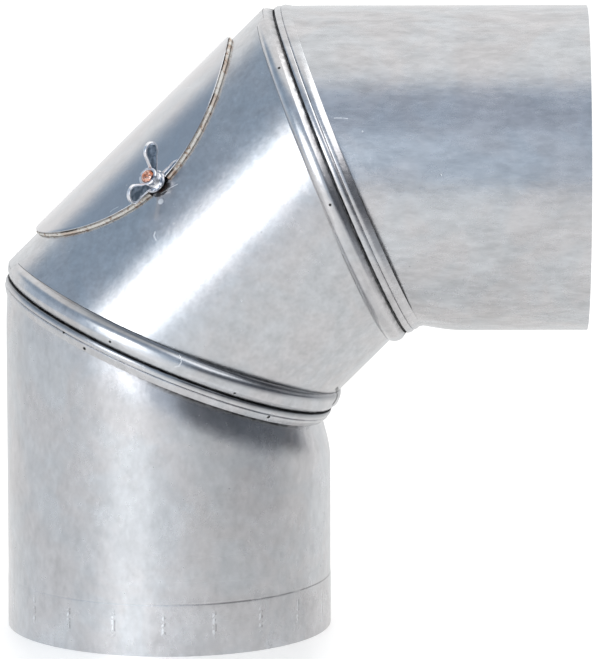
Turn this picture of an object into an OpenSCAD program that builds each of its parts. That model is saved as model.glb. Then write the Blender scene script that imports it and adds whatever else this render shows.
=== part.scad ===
// Stove pipe elbow: three mitred sheet-metal tubes joined by two rolled swivel
// seams, with a bent round inspection hatch clamped on the outside of the bend.
// The elbow stands on the rim of its lower tube: origin at that rim's centre,
// +Z up the lower tube, +X towards the upper outlet.

/* [Tube] */
// Outer radius of the tube (nominal pipe size is twice this)
tube_r = 75; // [60:0.5:100]
// Thickness of the sheet
sheet = 0.7; // [0.5:0.05:1]
// Mitre angle of each seam, a quarter of the bend
mitre = 22.5; // [15:0.5:22.5]
// Axis length of the lower tube, from its rim to the first mitre
leg_low = 137.6; // [120:0.5:200]
// Axis length of the middle tube, from mitre to mitre
leg_mid = 108.1; // [100:0.5:180]
// Axis length of the upper tube, from the second mitre to its rim
leg_up = 117.1; // [110:0.5:200]

/* [Lower socket] */
// How much the lower rim is expanded, on the radius
socket_step = 0.3; // [0.1:0.05:0.6]
// Length of the expanded stretch
socket_len = 26; // [15:1:45]
// Length of the taper above it
socket_taper = 1.5; // [1:0.5:5]

/* [Swivel seam] */
// How far the circular seam is set off the tube axis, towards the throat
seam_shift = 2.5; // [1.5:0.1:3]
// Height of the outer bead's crown over the tube's radius
outer_bead_rise = 7.7; // [7.4:0.1:9]
// Height of the groove between the beads over the tube's radius
groove_rise = 4.7; // [4.4:0.1:5]
// Height of the second bead's crown over the tube's radius
inner_bead_rise = 6.3; // [5.8:0.1:6.8]
// Height of the thin lip beside the second bead over the tube's radius
lip_rise = 5.0; // [4.5:0.1:5.4]
// Distance from the mitre plane to the far flank of the outer bead
outer_bead_top = 6.7; // [6:0.1:9]
// Distance from the mitre plane to the rolled edge in the groove
groove_drop = 3.2; // [2.5:0.1:4.5]
// Width of the second bead, without its lip
inner_bead_w = 6.0; // [5:0.1:8]
// Width of the thin lip
lip_w = 1.3; // [1:0.1:2]
// Running clearance between the nested beads
seam_gap = 0.35; // [0.2:0.05:0.5]
// Depth of the collar inside the outer bead, past the mitre plane
collar_top = 3.2; // [2.5:0.1:4.5]
// Height of the flare at the foot of the second bead
flare_rise = 1.5; // [0.8:0.1:2]
// Length of that flare along the seam's axis
flare_len = 8; // [5:0.5:12]
// How far the lower tube's wall is drawn in at the throat of its seam
draw_low = 3.5; // [2:0.1:3.8]
// How far the upper tube's wall is drawn in at the throat of its seam
draw_up = 2.2; // [2:0.1:3.8]
// Length of that draw along the seam's axis
draw_len = 17; // [12:0.5:22]

/* [Hatch] */
// Length of the oval cover along the tube
cover_len = 126; // [110:0.5:132]
// Width of the cover round the tube, measured along its bent surface
cover_wide = 112.6; // [100:0.2:124]
// Thickness of the cover's sheet
cover_t = 0.7; // [0.5:0.05:1.2]
// Thickness of the gasket
gasket_t = 1.8; // [1.2:0.1:3]
// How far the gasket's edge stands out past the cover's edge
gasket_proud = 0.9; // [0.2:0.1:1.6]
// Width of the band that the gasket covers inside the cover's edge
gasket_band = 11; // [8:0.5:20]
// How far the opening in the tube keeps inside the gasket
opening_inset = 1.5; // [1:0.1:3]

/* [Studs and wing nuts] */
// Diameter of the stud's thread
stud_d = 6; // [5:1:6]
// How far each stud's axis lies inside the cover's edge
stud_inset = 2; // [1.5:0.1:3]
// Shift of both studs along the tube, from the hatch's centre
stud_shift = -2; // [-4:0.5:4]
// How far each stud stands out of its nut
stud_out = 0.6; // [0:0.1:3]
// Diameter of the stud's weld flange
flange_d = 7.6; // [7:0.1:9]
// Thickness of the weld flange
flange_t = 0.7; // [0.5:0.05:0.9]
// Clearance of the slot in the cover round the stud, on the diameter
slot_clear = 0.8; // [0.4:0.1:1.2]
// Width of the notch in the gasket at each stud
notch_wide = 15; // [9:0.5:18]
// How far that notch reaches in past the stud's axis
notch_deep = 5; // [4:0.5:6]
// Radial running clearance of the thread
thread_gap = 0.05; // [0.02:0.01:0.1]
// Diameter of the wing nut's base
nut_base_d = 11.2; // [10:0.1:13]
// Diameter of the wing nut's top ring
nut_top_d = 8.4; // [8:0.1:9.5]
// Height of the wing nut's hub
nut_hub_h = 6.2; // [5:0.1:8]
// Span over both wings
nut_span = 30.5; // [26:0.5:34]
// Height of the wings' tips over the nut's base
nut_h = 14.4; // [12:0.1:17]
// Radius of a wing's rounded ear
ear_r = 4.5; // [4:0.1:5.5]
// Thickness of a wing
wing_t = 2; // [1.6:0.1:2.4]
// Turn of the near wing nut about its stud
near_turn = 33; // [-60:1:60]
// Turn of the far wing nut about its stud
far_turn = 0; // [-60:1:60]

/* [Hidden] */
$fn = 128;

eps = 0.02;
big = 600;
zinc = [0.72, 0.73, 0.75];
bright = [0.80, 0.81, 0.83];
fibre = [0.82, 0.76, 0.66];
copper = [0.80, 0.42, 0.30];

// where the axes of the tubes cross and where the upper rim lies
bend = 2 * mitre;
seam_2_x = leg_mid * sin(bend);
seam_2_z = leg_low + leg_mid * cos(bend);
rim_2_x = seam_2_x + leg_up * sin(2 * bend);
rim_2_z = seam_2_z + leg_up * cos(2 * bend);

// radii of the seam, about its own axis
outer_crown = tube_r + outer_bead_rise;
groove_r = tube_r + groove_rise;
inner_crown = tube_r + inner_bead_rise;
lip_r = tube_r + lip_rise;
collar_crown = outer_crown - sheet - seam_gap;
edge_r = groove_r + seam_gap + sheet;

// places along the seam's axis, from the mitre plane towards the middle tube
edge_w = -groove_drop;
bead_2_hi = edge_w - seam_gap;
bead_2_lo = bead_2_hi - inner_bead_w;
lip_lo = bead_2_lo - lip_w;
web_hi = outer_bead_top - sheet;
hook_w = edge_w + sheet + seam_gap;

// radius of the straight wall at the throat, beside the lip
throat_wall = tube_r / cos(mitre) - seam_shift - lip_lo * tan(mitre) - 2 * eps;

// how far the corners of the rolled profiles are eased
lip_ease = 0.35;
edge_ease = 0.25;
collar_ease = 0.8;
hook_ease = 1.3;
under_ease = 4.2;
over_ease = 5;
draw_steps = 8;
oval_power = 1.9;

// hatch and studs
cover_in = tube_r + gasket_t;
cover_out = cover_in + cover_t;
stud_angle = (cover_wide / 2 - stud_inset) / cover_out * 180 / PI;
stud_r = stud_d / 2;
slot_w = stud_d + slot_clear;
gasket_l = cover_len / 2 + gasket_proud;
gasket_w = cover_wide / 2 + gasket_proud;
inner_l = cover_len / 2 - gasket_band;
inner_w = cover_wide / 2 - gasket_band;
cut_h = 3 * stud_d;
stud_chamfer = 0.6;
nut_foot_h = 1.2;
nut_seat = 0.1;

// Unit vector from one point of a profile towards another
function toward(from, to) = let (d = [to[0] - from[0], to[1] - from[1]]) d / norm(d);

// A profile with eased corners. A corner is [r, w, before, after], with the
// distances where its parabola leaves one side and meets the next; a plain
// point is [r, w]
function eased(pts, steps = 4) = [for (i = [0:len(pts) - 1])
    let (n = len(pts), p = pts[i], c = [p[0], p[1]])
    each len(p) == 2 ? [p] :
        let (a = c + p[2] * toward(c, pts[(i + n - 1) % n]),
             b = c + p[3] * toward(c, pts[(i + 1) % n]))
        [for (k = [0:steps]) let (t = k / steps)
            (1 - t) * (1 - t) * a + 2 * t * (1 - t) * c + t * t * b]];

// Half a superellipse over a span: points [r, w] of a bead's crown, from its
// start to its end along the seam's axis, for a bead that rises from r_foot
function bead(r_foot, r_crown, w_from, w_to, steps = 10, power = 2.6) =
    [for (i = [0:steps])
        let (a = 180 * i / steps)
        [r_foot + (r_crown - r_foot) * pow(sin(a), 2 / power),
         (w_from + w_to) / 2 - (w_to - w_from) / 2 * sign(cos(a)) * pow(abs(cos(a)), 2 / power)]];

// Places its children at the seam of a tube that stands on its own rim: the
// seam's axis is Z, and it points towards the middle tube
module at_seam(leg) {
    translate([0, 0, leg]) rotate([0, mitre, 0]) translate([seam_shift, 0, 0]) children();
}

module at_upper_tube() {
    translate([rim_2_x, 0, rim_2_z]) rotate([180, 2 * bend, 0]) children();
}

module at_middle_tube() {
    translate([0, 0, leg_low]) rotate([0, bend, 0]) children();
}

// Everything on the tube's own side of a plane across the seam
module below_seam(leg, w) {
    at_seam(leg) translate([-big / 2, -big / 2, w - big]) cube(big);
}

// The male half of a seam as a body of revolution: the lip, the second bead,
// the neck under the rolled edge and the collar that the outer bead holds
module male_ring(skin) {
    lip = lip_r - skin;
    lo = lip_lo + skin;
    neck = groove_r - skin;
    collar = collar_crown - skin;
    top = collar_top + (skin > 0 ? eps : 0);
    rotate_extrude() polygon(eased(concat(
        [[0, lo], [lip, lo, lip_ease, lip_ease], [lip, bead_2_lo + skin / 2]],
        bead(neck, inner_crown - skin, bead_2_lo + skin, bead_2_hi - skin / 2),
        [[neck, hook_w + skin / 2],
         [collar, hook_w + skin / 2, hook_ease, 2 * hook_ease],
         [collar, top, collar_ease, collar_ease], [0, top]])));
}

// The female half: the outer bead, whose edge is rolled in behind the collar
module female_ring(skin) {
    lo = edge_w - (skin > 0 ? eps : 0);
    edge = edge_r - skin;
    crown = outer_crown - skin;
    hi = outer_bead_top - skin;
    rotate_extrude() polygon(eased([
        [0, lo], [edge, lo], [edge, edge_w + (skin > 0 ? sheet : edge_ease)],
        [crown, edge_w + edge_ease + skin / 2, crown - edge - eps, under_ease],
        [crown, hi, over_ease, over_ease], [0, hi]]));
}

// The flare that leads the wall out to the seam
module flare(skin) {
    top = lip_lo + skin + eps;
    rotate_extrude() polygon(eased([
        [0, lip_lo - flare_len], [tube_r - 1 - skin, lip_lo - flare_len],
        [tube_r - skin, lip_lo - flare_len / 2, flare_len / 4, flare_len / 4],
        [tube_r + flare_rise - skin, top], [0, top]]));
}

// The wall is drawn in towards the throat of the seam. This widening body of
// revolution trims the straight tube: it runs beside the mitred wall at a
// distance that falls to nothing, as a parabola, over the draw's length
module throat_draw(draw, skin) {
    start = throat_wall - draw - skin;
    run = [for (i = [0:draw_steps]) let (d = draw_len * i / draw_steps)
        [start + d * tan(mitre) + draw * (1 - pow(1 - d / draw_len, 2)), lip_lo - d]];
    rotate_extrude() polygon(concat(
        [[0, lip_lo + skin + 2 * eps], [start, lip_lo + skin + 2 * eps]], run,
        [[start + big, lip_lo - draw_len], [start + big, lip_lo - big / 2], [0, lip_lo - big / 2]]));
}

// Bore or outside of a tube that stands on its rim and ends in a seam
module tube_body(leg, draw, skin, step) {
    r = tube_r - skin;
    under = skin > 0 ? eps : 0;
    intersection() {
        union() {
            translate([0, 0, -under]) cylinder(r = r, h = leg + tube_r);
            if (step > 0) {
                translate([0, 0, -under]) cylinder(r = r + step, h = socket_len + under);
                translate([0, 0, socket_len]) cylinder(r1 = r + step, r2 = r, h = socket_taper);
            }
            at_seam(leg) flare(skin);
        }
        at_seam(leg) throat_draw(draw, skin);
    }
    at_seam(leg) male_ring(skin);
}

module end_tube(leg, draw, step) {
    difference() {
        tube_body(leg, draw, 0, step);
        tube_body(leg, draw, sheet, step);
    }
}

module lower_segment() {
    color(zinc) end_tube(leg_low, draw_low, socket_step);
}

module upper_segment() {
    color(zinc) at_upper_tube() end_tube(leg_up, draw_up, 0);
}

// Straight part of the middle tube between two planes across its seams
module middle_wall(r, inset) {
    difference() {
        at_middle_tube() translate([0, 0, -tube_r]) cylinder(r = r, h = leg_mid + 2 * tube_r);
        below_seam(leg_low, inset);
        at_upper_tube() below_seam(leg_up, inset);
    }
}

module middle_body(skin) {
    middle_wall(tube_r - skin, skin > 0 ? web_hi - 1 : outer_bead_top - 3);
    at_seam(leg_low) female_ring(skin);
    at_upper_tube() at_seam(leg_up) female_ring(skin);
}

// Places its children at the middle of the hatch: Z is the hatch's own
// direction, out of the bend, and X runs along the middle tube
module at_hatch() {
    at_middle_tube() translate([0, 0, leg_mid / 2]) rotate([0, -90, 0]) children();
}

// Squares a circle's sine or cosine up or down to the cover's slightly
// pointed oval
function oval(c) = sign(c) * pow(abs(c), 2 / oval_power);

// Outline of an oval sheet, half_l by half_w when flat, after it was bent
// about the tube to the radius r_bent
module bent_oval(half_l, half_w, r_bent) {
    linear_extrude(height = 2 * tube_r) polygon([for (a = [0:5:355])
        [half_l * oval(cos(a)), r_bent * sin(half_w * oval(sin(a)) / r_bent * 180 / PI)]]);
}

// Round shell about the middle tube's axis
module shell(r_in, r_out) {
    rotate([0, 90, 0]) translate([0, 0, -tube_r]) difference() {
        cylinder(r = r_out, h = 2 * tube_r);
        translate([0, 0, -eps]) cylinder(r = r_in, h = 2 * tube_r + 2 * eps);
    }
}

// Places its children on a stud's axis, at a radius from the middle tube's
// axis, with +Y towards the hatch's middle line
module at_stud(side, r) {
    at_hatch() rotate([side * stud_angle, 0, 0]) translate([stud_shift, 0, r])
        rotate([0, 0, side > 0 ? 0 : 180]) children();
}

module middle_segment() {
    color(zinc) difference() {
        middle_body(0);
        middle_body(sheet);
        at_hatch() bent_oval(inner_l - opening_inset, inner_w - opening_inset, tube_r);
    }
}

// The gasket is notched at each stud, where the stud's weld flange stands
module hatch_gasket() {
    color(fibre) difference() {
        at_hatch() intersection() {
            shell(tube_r, cover_in);
            difference() {
                bent_oval(gasket_l, gasket_w, cover_in);
                bent_oval(inner_l, inner_w, cover_in);
            }
        }
        for (side = [-1, 1]) at_stud(side, tube_r - cut_h / 2)
            translate([-notch_wide / 2, notch_deep - cut_h, 0]) cube([notch_wide, cut_h, cut_h]);
    }
}

// The cover has an open slot at each stud, so it lifts off once the wing nuts
// are backed off
module hatch_cover() {
    color(bright) difference() {
        at_hatch() intersection() {
            shell(cover_in, cover_out);
            bent_oval(cover_len / 2, cover_wide / 2, cover_out);
        }
        for (side = [-1, 1]) at_stud(side, tube_r - cut_h / 2) {
            cylinder(d = slot_w, h = cut_h);
            translate([-slot_w / 2, -cut_h, 0]) cube([slot_w, cut_h, cut_h]);
        }
    }
}

// Weld stud: a flange that sits on the tube and a plain shank for the thread
module stud(side) {
    shank = gasket_t + cover_t + nut_hub_h + stud_out - stud_chamfer;
    color(copper) difference() {
        at_stud(side, tube_r - 1) {
            cylinder(d = flange_d, h = 1 + flange_t);
            cylinder(d = stud_d, h = 1 + shank);
            translate([0, 0, 1 + shank])
                cylinder(d1 = stud_d, d2 = stud_d - 2 * stud_chamfer, h = stud_chamfer);
        }
        at_hatch() rotate([0, 90, 0]) translate([0, 0, -tube_r]) cylinder(r = tube_r, h = 2 * tube_r);
    }
}

module near_stud() {
    stud(1);
}

module far_stud() {
    stud(-1);
}

// One wing in the plane of the stud's axis: a rounded ear on a sloping web
module wing() {
    ear_x = nut_span / 2 - ear_r;
    ear_z = nut_h - ear_r;
    root_x = stud_r + (nut_top_d / 2 - stud_r) / 2;
    translate([0, wing_t / 2, 0]) rotate([90, 0, 0]) linear_extrude(height = wing_t) {
        translate([ear_x, ear_z]) circle(r = ear_r);
        polygon([[root_x, nut_foot_h / 2], [ear_x + ear_r / 8, ear_z - ear_r + eps], [ear_x, ear_z],
            [ear_x - ear_r * 0.8, ear_z + ear_r * 0.6], [root_x, nut_hub_h - nut_foot_h / 2]]);
    }
}

module wing_nut(side, turn) {
    color(bright) at_stud(side, cover_out + nut_seat) rotate([0, 0, turn]) difference() {
        union() {
            cylinder(d = nut_base_d, h = nut_foot_h);
            translate([0, 0, nut_foot_h])
                cylinder(d1 = nut_base_d, d2 = nut_top_d, h = nut_hub_h - nut_foot_h);
            for (i = [0, 180]) rotate([0, 0, i]) wing();
        }
        translate([0, 0, -1]) cylinder(r = stud_r + thread_gap, h = nut_h + 2);
    }
}

module near_wing_nut() {
    wing_nut(1, near_turn);
}

module far_wing_nut() {
    wing_nut(-1, far_turn);
}

lower_segment();
middle_segment();
upper_segment();
hatch_gasket();
hatch_cover();
near_stud();
far_stud();
near_wing_nut();
far_wing_nut();
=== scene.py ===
import bmesh
import bpy
import numpy as np
from mathutils import Matrix, Vector


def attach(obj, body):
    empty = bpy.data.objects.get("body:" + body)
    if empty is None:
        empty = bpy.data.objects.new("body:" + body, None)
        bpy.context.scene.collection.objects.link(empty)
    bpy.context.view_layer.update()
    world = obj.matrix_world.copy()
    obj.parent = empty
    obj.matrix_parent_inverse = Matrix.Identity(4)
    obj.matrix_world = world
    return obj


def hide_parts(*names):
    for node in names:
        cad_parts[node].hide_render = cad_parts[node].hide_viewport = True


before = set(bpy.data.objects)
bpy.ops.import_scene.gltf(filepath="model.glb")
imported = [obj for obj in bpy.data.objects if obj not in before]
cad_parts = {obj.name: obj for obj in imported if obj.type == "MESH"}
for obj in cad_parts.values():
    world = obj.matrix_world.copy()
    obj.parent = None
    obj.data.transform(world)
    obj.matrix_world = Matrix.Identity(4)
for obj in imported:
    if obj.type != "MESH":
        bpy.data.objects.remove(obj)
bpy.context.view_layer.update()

# Lower tube
# A straight piece of aluminised sheet steel, rolled and welded down its back.
# Its rim is expanded into a socket, and its top is drawn out to a circle and
# beaded: a thin lip, a second bead, and the collar that the middle tube holds.
TUBE_R = 75.0
SHEET = 0.7
MITRE = np.radians(22.5)
LEG_LOW = 137.6
SOCKET_STEP, SOCKET_LEN, SOCKET_TAPER = 0.3, 26.0, 1.5
SOCKET_MARK = 24.3
SEAM_SHIFT = 2.5
OUTER_CROWN, INNER_CROWN, LIP_R, GROOVE_R = 82.7, 81.3, 80.0, 79.7
SEAM_GAP = 0.35
COLLAR_R = OUTER_CROWN - SHEET - SEAM_GAP
COLLAR_TOP = 3.2
EDGE_R = GROOVE_R + SEAM_GAP + SHEET
EDGE_W = -3.2
HOOK_W = EDGE_W + SHEET + SEAM_GAP
HOOK_EASE = (1.9, 4.5)
BEAD_2_HI = EDGE_W - SEAM_GAP
BEAD_2_LO = BEAD_2_HI - 6.0
LIP_LO = BEAD_2_LO - 1.3
CREASE_W = -7.2
UP_SHIFT = 0.9
AROUND = 288


def eased(corners, steps=5):
    """Profile through points (r, w). A corner (r, w, before, after) becomes the
    parabola that leaves its two sides at those distances from the corner."""
    ends = [np.atleast_2d(np.array(c[:2], float)) if isinstance(c, tuple) else c for c in corners]
    run = []
    for k, c in enumerate(corners):
        if not isinstance(c, tuple) or len(c) == 2:
            run.append(ends[k])
            continue
        p = ends[k][0]
        back = ends[k - 1][-1] - p
        on = ends[(k + 1) % len(ends)][0] - p
        a = p + c[2] * back / np.linalg.norm(back)
        b = p + c[3] * on / np.linalg.norm(on)
        t = np.linspace(0, 1, steps + 1)[:, None]
        run.append((1 - t) ** 2 * a + 2 * t * (1 - t) * p + t * t * b)
    return np.vstack(run)


def crown(r_foot, r_top, w_from, w_to, steps=22, power=2.6):
    """Half a superellipse: r is the foot plus the rise times sin(a)^(2/power),
    w runs over the width as cos(a)^(2/power), for a from 0 to 180 degrees."""
    a = np.linspace(0, np.pi, steps + 1)
    c = np.cos(a)
    return np.stack([r_foot + (r_top - r_foot) * np.clip(np.sin(a), 0, 1) ** (2 / power),
                     (w_from + w_to) / 2 - (w_to - w_from) / 2 * np.sign(c) * np.abs(c) ** (2 / power)], 1)


def male_profile(skin, shift):
    """The seam's inner half, seen in section: the lip's step and its slanted
    band, a crease, the second bead, the groove's floor, and the collar. The
    crease and the groove lie shift further along than in the solids."""
    rim = [(COLLAR_R, COLLAR_TOP, 0.6, 0.6), (COLLAR_R - SHEET, COLLAR_TOP)]
    return eased([(LIP_R - 1.8 - skin, LIP_LO + skin), (LIP_R - 0.9 - skin, LIP_LO + skin, 0.2, 0.2),
                  (LIP_R + 0.75 - skin, LIP_LO + 2.7 + skin / 2, 0.9, 0.5),
                  (LIP_R + 0.85 - skin, CREASE_W + shift - 0.3, 0.4, 0.5),
                  crown(LIP_R + 0.35 - skin, INNER_CROWN - skin, CREASE_W + shift + skin / 2,
                        BEAD_2_HI + shift - 0.15 - skin / 2, power=2.0),
                  (GROOVE_R - 0.8 - skin, BEAD_2_HI + shift - 0.1), (GROOVE_R - 0.8 - skin, HOOK_W + shift - 0.4),
                  (GROOVE_R - skin, HOOK_W + shift + skin / 2),
                  (COLLAR_R - skin, HOOK_W + shift + skin / 2, *HOOK_EASE)] + rim[skin > 0:])


def end_surface(leg, draw, neck, step, shift, skin, levels):
    """One surface of an end tube as points [angle, level]. The wall is a
    cylinder up to the lip. Over the last 16.5 mm, in the seam's own frame, it
    is drawn in by a parabola that runs on as a straight line, most of all in
    the throat. Past the wall the seam's profile turns about the seam's axis."""
    c, s = np.cos(MITRE), np.sin(MITRE)
    th = np.linspace(0, 2 * np.pi, AROUND, endpoint=False)[:, None]
    r = TUBE_R - skin
    tip = LIP_LO + skin
    at_lip = np.hypot(r * np.cos(th) / c - tip * s / c - SEAM_SHIFT, r * np.sin(th))
    side = np.clip((r * np.cos(th) / c - tip * s / c - SEAM_SHIFT) / at_lip, -1, 1)
    inwards = neck * np.clip(0.8 + 0.85 * side, 0.25, 1.0) + (draw - neck) * np.clip(side, 0, 1) ** 3
    top = leg + (tip - s * r * np.cos(th)) / c
    low = np.minimum(levels, 30.0)
    z = low + (levels > 30) * (levels - 30) / (levels[-1] - 30) * (top - 30)
    t = np.clip((SOCKET_LEN + SOCKET_TAPER - z) / (4 * SOCKET_TAPER), 0, 1)
    out = r + step * (t * t * (3 - 2 * t) - 0.35 * np.exp(-((z - SOCKET_MARK) / 0.35) ** 2))
    x, y = out * np.cos(th), out * np.sin(th)
    sx = c * x - s * (z - leg) - SEAM_SHIFT
    w = s * x + c * (z - leg)
    rho, psi = np.hypot(sx, y), np.arctan2(y, sx)
    q = np.clip(1.65 - (tip - w) / 10, 0, 2)
    rho = rho - inwards * np.where(q < 1, q * q, 2 * q - 1) / 2.3
    sx, y = rho * np.cos(psi), rho * np.sin(psi)
    wall = np.stack([c * (sx + SEAM_SHIFT) + s * w, y, leg - s * (sx + SEAM_SHIFT) + c * w], -1)
    profile = male_profile(skin, shift)
    turn = psi[:, -1:]
    pr = np.maximum(profile[:, 0], (rho[:, -1:] + 0.01) * (profile[:, 1] < tip + 0.2))
    sx, y, w = pr * np.cos(turn), pr * np.sin(turn), profile[:, 1] + 0 * turn
    ring = np.stack([c * (sx + SEAM_SHIFT) + s * w, y, leg - s * (sx + SEAM_SHIFT) + c * w], -1)
    return np.concatenate([wall, ring], 1)


def end_tube(leg, draw, neck, step, shift):
    """Outer and inner surface of an end tube as one closed loop of points round
    each section [angle, place]."""
    levels = np.concatenate([[0, 0.25, 8, 16, 21, 22.5], SOCKET_MARK + 0.25 * np.arange(-4, 5), [26, 27, 28.5],
                             30 + 200 * np.append(np.linspace(0, 1, 46)[1:-1] ** 0.8, [0.988, 0.993, 0.997, 1])])
    outer = end_surface(leg, draw, neck, step, shift, 0.0, levels)
    inner = end_surface(leg, draw, neck, step, shift, SHEET, levels)
    return np.concatenate([outer, inner[:, ::-1]], 1)


def placed(points, origin, x, y, z):
    """Points of a piece's own frame, in mm, brought into the object's frame."""
    return points @ np.array([x, y, z], float) + np.array(origin, float)


def mesh_piece(name, points, faces, coords=None, sharp=32, **marks):
    """A mesh object from points in mm and quads of their numbers. coords is a
    number pair per corner for the UV map; each mark is a value per point."""
    me = bpy.data.meshes.new(name)
    flat = points.reshape(-1, 3)
    me.vertices.add(len(flat))
    me.vertices.foreach_set("co", (flat / 1000).ravel())
    me.loops.add(faces.size)
    me.loops.foreach_set("vertex_index", faces.ravel().astype(np.int32))
    me.polygons.add(len(faces))
    me.polygons.foreach_set("loop_start", np.arange(0, faces.size, faces.shape[1], dtype=np.int32))
    me.update(calc_edges=True)
    if coords is not None:
        me.uv_layers.new(name="UVMap").data.foreach_set("uv", coords.astype(np.float32).ravel())
    for mark, value in marks.items():
        me.attributes.new(mark, "FLOAT", "POINT").data.foreach_set("value", np.broadcast_to(value, points.shape[:-1]).astype(np.float32).ravel())
    bm = bmesh.new()
    bm.from_mesh(me)
    bmesh.ops.remove_doubles(bm, verts=bm.verts, dist=2e-6)
    bm.to_mesh(me)
    bm.free()
    me.polygons.foreach_set("use_smooth", np.ones(len(me.polygons), bool))
    me.set_sharp_from_angle(angle=np.radians(sharp))
    me.update()
    ob = bpy.data.objects.new(name, me)
    bpy.context.scene.collection.objects.link(ob)
    return ob


def ring_faces(n, m, closed=True):
    """Quads of a grid that closes round its first count, and round its second
    count too where the section is a closed loop, with (u, v) at each corner."""
    i, j = np.meshgrid(np.arange(n), np.arange(m if closed else m - 1), indexing="ij")
    i2, j2 = (i + 1) % n, (j + 1) % m
    faces = np.stack([i * m + j, i2 * m + j, i2 * m + j2, i * m + j2], -1).reshape(-1, 4)
    u = np.stack([i, i + 1, i + 1, i], -1) / n
    v = np.stack([j, j, j + 1, j + 1], -1) / m
    return faces, np.stack([u, v], -1).reshape(-1, 2)


class Wire:
    """A socket of a node tree. Arithmetic on it adds Math nodes."""

    def __init__(self, tree, socket):
        self.tree, self.socket = tree, socket

    def math(self, kind, *values):
        node = self.tree.nodes.new("ShaderNodeMath")
        node.operation = kind
        for socket, value in zip(node.inputs, values):
            plug(self.tree, socket, value)
        return Wire(self.tree, node.outputs[0])

    def __add__(self, other):
        return self.math("ADD", self, other)

    def __sub__(self, other):
        return self.math("SUBTRACT", self, other)

    def __rsub__(self, other):
        return self.math("SUBTRACT", other, self)

    def __mul__(self, other):
        return self.math("MULTIPLY", self, other)

    def __truediv__(self, other):
        return self.math("DIVIDE", self, other)

    def __pow__(self, other):
        return self.math("POWER", self, other)

    __radd__, __rmul__ = __add__, __mul__

    def ramp(self, low, high):
        """0 below low, 1 above high, eased between."""
        node = self.tree.nodes.new("ShaderNodeMapRange")
        node.interpolation_type = "SMOOTHSTEP"
        for socket, value in zip(node.inputs, (self, low, high)):
            plug(self.tree, socket, value)
        return Wire(self.tree, node.outputs[0])


def plug(tree, socket, value):
    if isinstance(value, Wire):
        tree.links.new(value.socket, socket)
    else:
        socket.default_value = value


class Finish:
    """The nodes of one material, on a Principled shader."""

    def __init__(self, name):
        self.material = bpy.data.materials.new(name)
        self.material.use_nodes = True
        self.tree = self.material.node_tree
        self.shader = self.tree.nodes["Principled BSDF"]
        self.place = self.node("ShaderNodeTexCoord", out="Object")
        self.uv = self.node("ShaderNodeTexCoord", out="UV")

    def node(self, kind, settings=None, sockets=None, out=0):
        """Adds a node: its settings first, then its sockets' values or links."""
        node = self.tree.nodes.new(kind)
        for key, value in (settings or {}).items():
            setattr(node, key, value)
        for key, value in (sockets or {}).items():
            plug(self.tree, node.inputs[key], value)
        return Wire(self.tree, node.outputs[out])

    def noise(self, per_metre, detail=2.0, rough=0.5, where=None, warp=0.0):
        return self.node("ShaderNodeTexNoise", {}, {"Vector": where or self.place, "Scale": per_metre,
                         "Detail": detail, "Roughness": rough, "Distortion": warp})

    def stretched(self, scale, turn=(0, 0, 0), where=None):
        return self.node("ShaderNodeMapping", {}, {"Vector": where or self.place, "Scale": scale, "Rotation": turn})

    def mixed(self, share, a, b, blend="MIX"):
        """Colour a, with a share of colour b blended over it."""
        return self.node("ShaderNodeMix", {"data_type": "RGBA", "blend_type": blend}, {0: share, 6: a, 7: b}, out=2)

    def mark(self, name):
        return self.node("ShaderNodeAttribute", {"attribute_name": name}, out="Fac")

    def split(self, vector):
        node = self.node("ShaderNodeSeparateXYZ", {}, {0: vector})
        return [Wire(self.tree, s) for s in node.socket.node.outputs]

    def finish(self, colour, rough, metal=1.0, bumps=()):
        """Plugs colour and roughness in, and stacks the bumps (height, mm)."""
        plug(self.tree, self.shader.inputs["Base Color"], colour)
        plug(self.tree, self.shader.inputs["Roughness"], rough)
        self.shader.inputs["Metallic"].default_value = metal
        normal = None
        for height, mm in bumps:
            sockets = {"Height": height, "Distance": mm / 1000}
            if normal:
                sockets["Normal"] = normal
            normal = self.node("ShaderNodeBump", {}, sockets)
        if normal:
            plug(self.tree, self.shader.inputs["Normal"], normal)
        return self.material


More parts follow.
